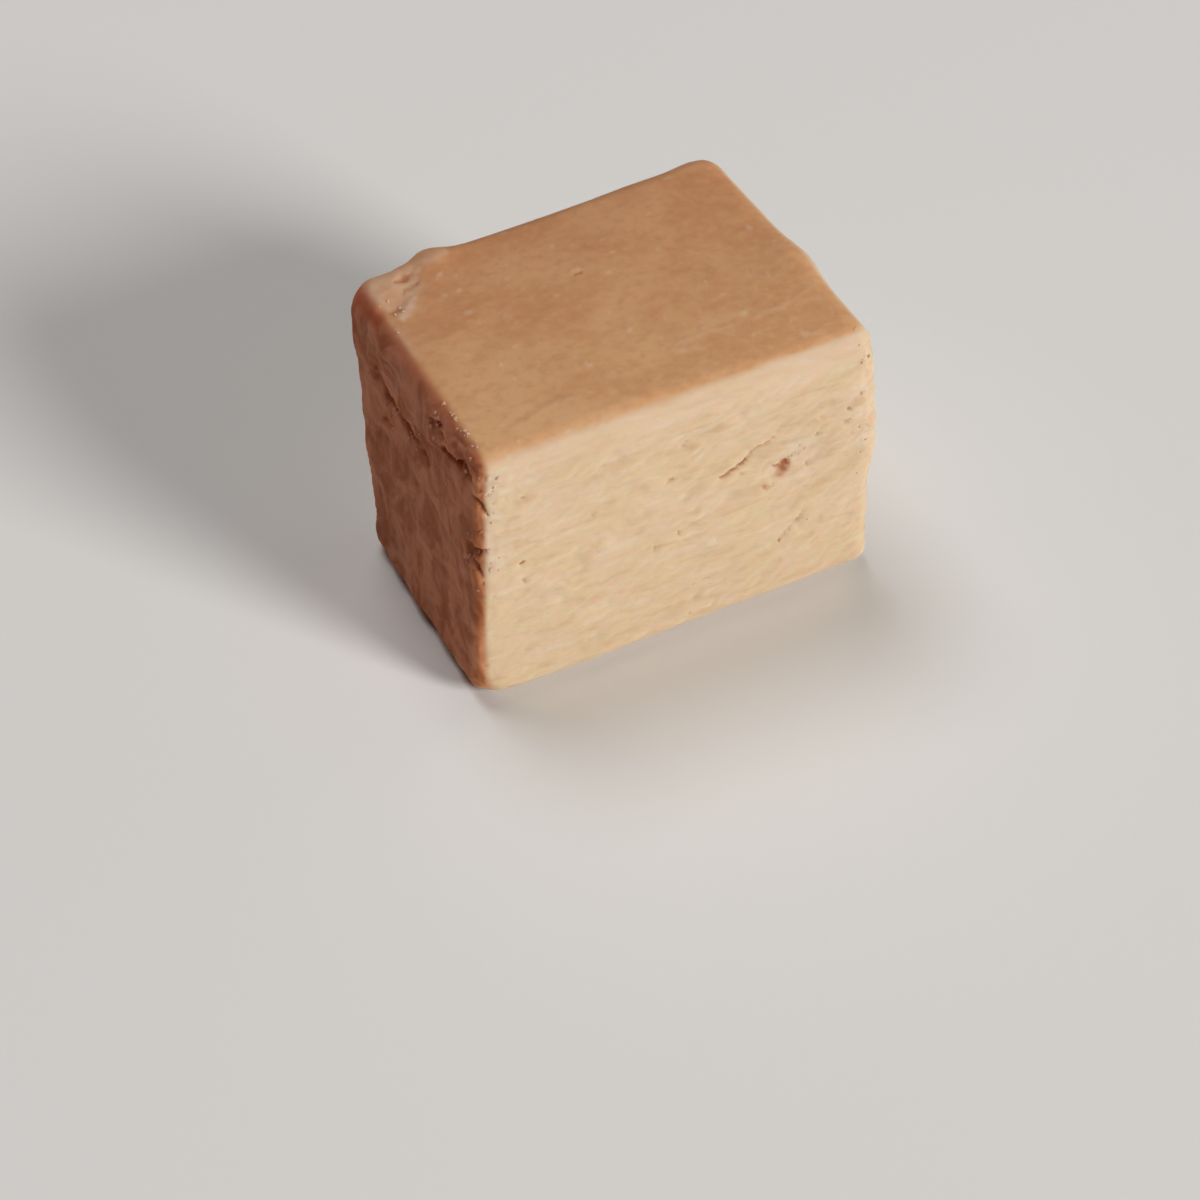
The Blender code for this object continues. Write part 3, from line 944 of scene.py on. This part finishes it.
# Red-brown painted shade for the floors of cracks, pits and notches
RED_BROWN_SHADE = (0.42, 0.14, 0.06, 1.0)
SKIN_TAN = (0.66, 0.355, 0.172, 1.0)
SKIN_PALE = (0.73, 0.435, 0.225, 1.0)
SKIN_DEEP = (0.57, 0.285, 0.135, 1.0)
SKIN_NEAR = (1.0, 1.0, 1.0, 1.0)
SKIN_FAR = (0.85, 0.73, 0.70, 1.0)
SKIN_RIM = (0.66, 0.42, 0.235, 1.0)
SCAR = (0.61, 0.295, 0.155, 1.0)
# Painted shade of the short side, warmed as by bounced light
SHORT_SIDE_SHADE = (0.73, 0.375, 0.315, 1.0)
# Painted orange glow by the near edge of the short side
EDGE_GLOW = (1.0, 0.57, 0.41, 1.0)
CRUMB_PALE = (0.72, 0.49, 0.34, 1.0)
# Painted shade for crumbs on the short side
CRUMB_IN_SHADE = (0.64, 0.28, 0.18, 1.0)

# Sizes of the material's noise in millimetres for each axis, and the turn of the noise on the cut sides
BROAD_SIZE = (4.0, 4.0, 3.0)
RIDGE_SIZE = (2.6, 2.6, 0.7)
FINE_SIZE = (0.30, 0.30, 0.22)
STROKE_SIZE = (2.4, 2.4, 3.4)
PATCH_SIZE = (7.0, 4.5, 6.0)
MOTTLE_SIZE = (0.9, 0.75, 0.8)
FRECKLE_SIZE = (0.50, 0.42, 0.50)
SPOT_SIZE = (0.3, 0.3, 0.3)
CUT_TURN = 0.35

# Roughness from its least to its most
CUT_ROUGHNESS = (0.70, 0.86)
SKIN_ROUGHNESS = (0.60, 0.70)

BUMP_STRENGTH = 0.55
BUMP_DISTANCE = 0.09 * MM

FUDGE_SHADER = {
    "Subsurface Weight": 0.55,
    "Subsurface Radius": (1.0, 0.30, 0.13),
    "Subsurface Scale": 2.0 * MM,
    "Specular IOR Level": 0.12,
    "IOR": 1.45,
}
CRUMB_SHADER = {"Roughness": 0.85, "Specular IOR Level": 0.1}
FLOOR_SHADER = {"Base Color": (0.86, 0.85, 0.84, 1.0), "Roughness": 0.9, "Specular IOR Level": 0.2}


def fudge_material():
    """Pale cut sides, a tan skin, painted shade and a painted glow on the short side, chalky marks,
    and marks with painted shade on their floors, where the mesh says.
    """
    nodes = Nodes("fudge")
    skin, hollow_shade, floor_shade = nodes.share("skin"), nodes.share("hollow_shade"), nodes.share("floor_shade")
    peeled, torn = nodes.share("peeled"), nodes.share("torn")
    chalk, short_side_shade, far = nodes.share("chalk"), nodes.share("short_side_shade"), nodes.share("far")
    edge_glow = nodes.share("edge_glow")

    broad = nodes.noise(BROAD_SIZE, detail=3.0)
    ridged = nodes.noise(RIDGE_SIZE, turn=CUT_TURN, distortion=0.4)
    fine = nodes.noise(FINE_SIZE, turn=CUT_TURN, roughness=0.55)

    cut = nodes.mix(nodes.ramp(broad, 0.38, 0.62), CUT_CREAM, CUT_PINK)
    cut = nodes.mix(nodes.ramp(ridged, 0.50, 0.70, 0.0, 0.65), cut, CUT_TAN)
    cut = nodes.mix(nodes.ramp(ridged, 0.30, 0.45, 0.30, 0.0), cut, CHALK)
    cut = nodes.mix(nodes.ramp(fine, 0.5, 0.8, 0.0, 0.08), cut, CUT_DARK_AND_SHADE)
    cut = nodes.mix(nodes.ramp(torn, 0.0, 1.0, 0.20, 0.0), cut, CHALK)
    # Painted shade in the hollows of the cut sides
    cut = nodes.mix(nodes.ramp(hollow_shade, 0.1, 1.0, 0.0, 0.8), cut, CUT_DARK_AND_SHADE)
    strokes = nodes.noise(STROKE_SIZE, detail=3.0, roughness=0.55, distortion=0.8)
    stroked = nodes.math("MULTIPLY", short_side_shade, nodes.ramp(strokes, 0.38, 0.66, 0.0, 0.8))
    cut = nodes.mix(stroked, cut, CUT_DARK_AND_SHADE)

    patches = nodes.noise(PATCH_SIZE, detail=3.0, distortion=0.5)
    mottle = nodes.noise(MOTTLE_SIZE)
    top = nodes.mix(nodes.ramp(patches, 0.35, 0.68), SKIN_TAN, SKIN_PALE)
    top = nodes.mix(nodes.ramp(mottle, 0.5, 0.75, 0.0, 0.6), top, SKIN_PALE)
    top = nodes.mix(nodes.ramp(mottle, 0.25, 0.55, 0.4, 0.0), top, SKIN_DEEP)
    freckles = nodes.noise(FRECKLE_SIZE, detail=1.5)
    top = nodes.mix(nodes.ramp(freckles, 0.50, 0.80, 0.0, 0.25), top, SKIN_PALE)
    top = nodes.mix(nodes.ramp(freckles, 0.20, 0.50, 0.15, 0.0), top, SKIN_DEEP)
    top = nodes.mix(1.0, top, nodes.mix(far, SKIN_NEAR, SKIN_FAR), "MULTIPLY")
    top = nodes.mix(nodes.ramp(skin, 0.98, 0.5), top, SKIN_RIM)
    # Painted shade in the hollows of the skin
    top = nodes.mix(nodes.ramp(hollow_shade, 0.1, 0.9, 0.0, 0.6), top, CUT_DARK_AND_SHADE)

    scar = nodes.mix(nodes.ramp(broad, 0.35, 0.65, 0.0, 0.4), SCAR, cut)
    colour = nodes.mix(skin, cut, top)
    colour = nodes.mix(peeled, colour, scar)
    # Painted shade on the short side, eased into a painted orange glow by the near edge
    shade = nodes.mix(edge_glow, SHORT_SIDE_SHADE, EDGE_GLOW)
    colour = nodes.mix(short_side_shade, colour, nodes.mix(1.0, colour, shade, "MULTIPLY"))
    # Chalk fades under the short side's painted shade
    powder = nodes.math("MULTIPLY", chalk, nodes.ramp(short_side_shade, 0.0, 0.6, 0.8, 0.1))
    powder = nodes.math("MULTIPLY", powder, nodes.ramp(peeled, 0.0, 1.0, 1.0, 0.5))
    colour = nodes.mix(powder, colour, CHALK)
    # Red-brown painted shade on the floors of the marks
    colour = nodes.mix(nodes.ramp(floor_shade, 0.0, 0.8), colour, RED_BROWN_SHADE)
    nodes.set_shader({"Base Color": colour})

    dull = nodes.ramp(fine, 0.3, 0.7, *CUT_ROUGHNESS)
    satin = nodes.ramp(patches, 0.3, 0.7, *SKIN_ROUGHNESS)
    whole = nodes.math("MULTIPLY", skin, nodes.ramp(peeled, 0.0, 1.0, 1.0, 0.0))
    nodes.set_shader({"Roughness": nodes.blend(whole, dull, satin)})

    grit = nodes.math("ADD", nodes.math("MULTIPLY", fine, 0.12), nodes.math("MULTIPLY", ridged, 0.8))
    film = nodes.math("MULTIPLY", mottle, 0.35)
    bump = nodes.add(
        "ShaderNodeBump",
        {"Height": nodes.blend(whole, grit, film), "Strength": BUMP_STRENGTH, "Distance": BUMP_DISTANCE},
    )
    nodes.set_shader({"Normal": bump.outputs["Normal"], **FUDGE_SHADER})
    return nodes.material


def crumb_material():
    """Plain spotted crumb, with painted shade where it clings to the short side."""
    nodes = Nodes("crumb")
    spots = nodes.noise(SPOT_SIZE, detail=1.0)
    pale = nodes.mix(nodes.ramp(spots, 0.4, 0.7, 0.0, 0.5), CRUMB_PALE, CUT_TAN)
    nodes.set_shader({"Base Color": nodes.mix(nodes.share("crumb_shade"), pale, CRUMB_IN_SHADE), **CRUMB_SHADER})
    return nodes.material


def build_floor():
    """The plain pale ground that the piece stands on."""
    mesh = bpy.data.meshes.new("floor")
    corners = [(FLOOR_REACH * (2 * x - 1), FLOOR_REACH * (2 * y - 1), 0.0) for x, y in QUAD_CORNERS]
    mesh.from_pydata(corners, [], [(0, 1, 2, 3)])
    nodes = Nodes("pale_floor")
    nodes.set_shader(FLOOR_SHADER)
    mesh.materials.append(nodes.material)
    floor = add_object("floor", mesh)


def direction(azimuth, elevation):
    """The way from the piece to something at that azimuth, counted from -Y towards +X, and elevation."""
    flat = math.cos(elevation)
    return Vector((math.sin(azimuth) * flat, -math.cos(azimuth) * flat, math.sin(elevation)))


def add_light(name, azimuth, elevation, distance, size, power, colour):
    """A round area light that looks at the middle of the piece's underside."""
    lamp = bpy.data.lights.new(name, "AREA")
    lamp.shape = "DISK"
    lamp.size = size
    lamp.energy = power
    lamp.color = colour
    light = add_object(name, lamp)
    away = direction(math.radians(azimuth), math.radians(elevation))
    light.location = away * distance
    light.rotation_euler = away.to_track_quat("Z", "Y").to_euler()


def light_scene():
    """The lights, a faint even light from all round, and plain display of colours."""
    for name, values in LIGHTS.items():
        add_light(name, *values)
    world = bpy.data.worlds.new("studio")
    world.use_nodes = True
    world.node_tree.nodes["Background"].inputs["Color"].default_value = WORLD_COLOUR
    world.node_tree.nodes["Background"].inputs["Strength"].default_value = WORLD_STRENGTH
    bpy.context.scene.world = world
    bpy.context.scene.view_settings.view_transform = "Standard"


def add_camera():
    """The camera, turned to its aim from the photograph's side and height."""
    lens = bpy.data.cameras.new("camera")
    lens.lens = CAMERA_LENS
    lens.sensor_width = SENSOR_WIDTH
    lens.clip_start = CAMERA_CLIP
    camera = add_object("camera", lens)
    away = direction(CAMERA_AZIMUTH, CAMERA_ELEVATION)
    camera.location = Vector(CAMERA_AIM) + away * CAMERA_DISTANCE
    camera.rotation_euler = away.to_track_quat("Z", "Y").to_euler()
    bpy.context.scene.camera = camera


def build_all():
    """The fudge, and then the crumbs that sit on it."""
    surface = build_fudge(fudge_material())
    build_crumbs(surface)


add_camera()
light_scene()
build_floor()
build_all()
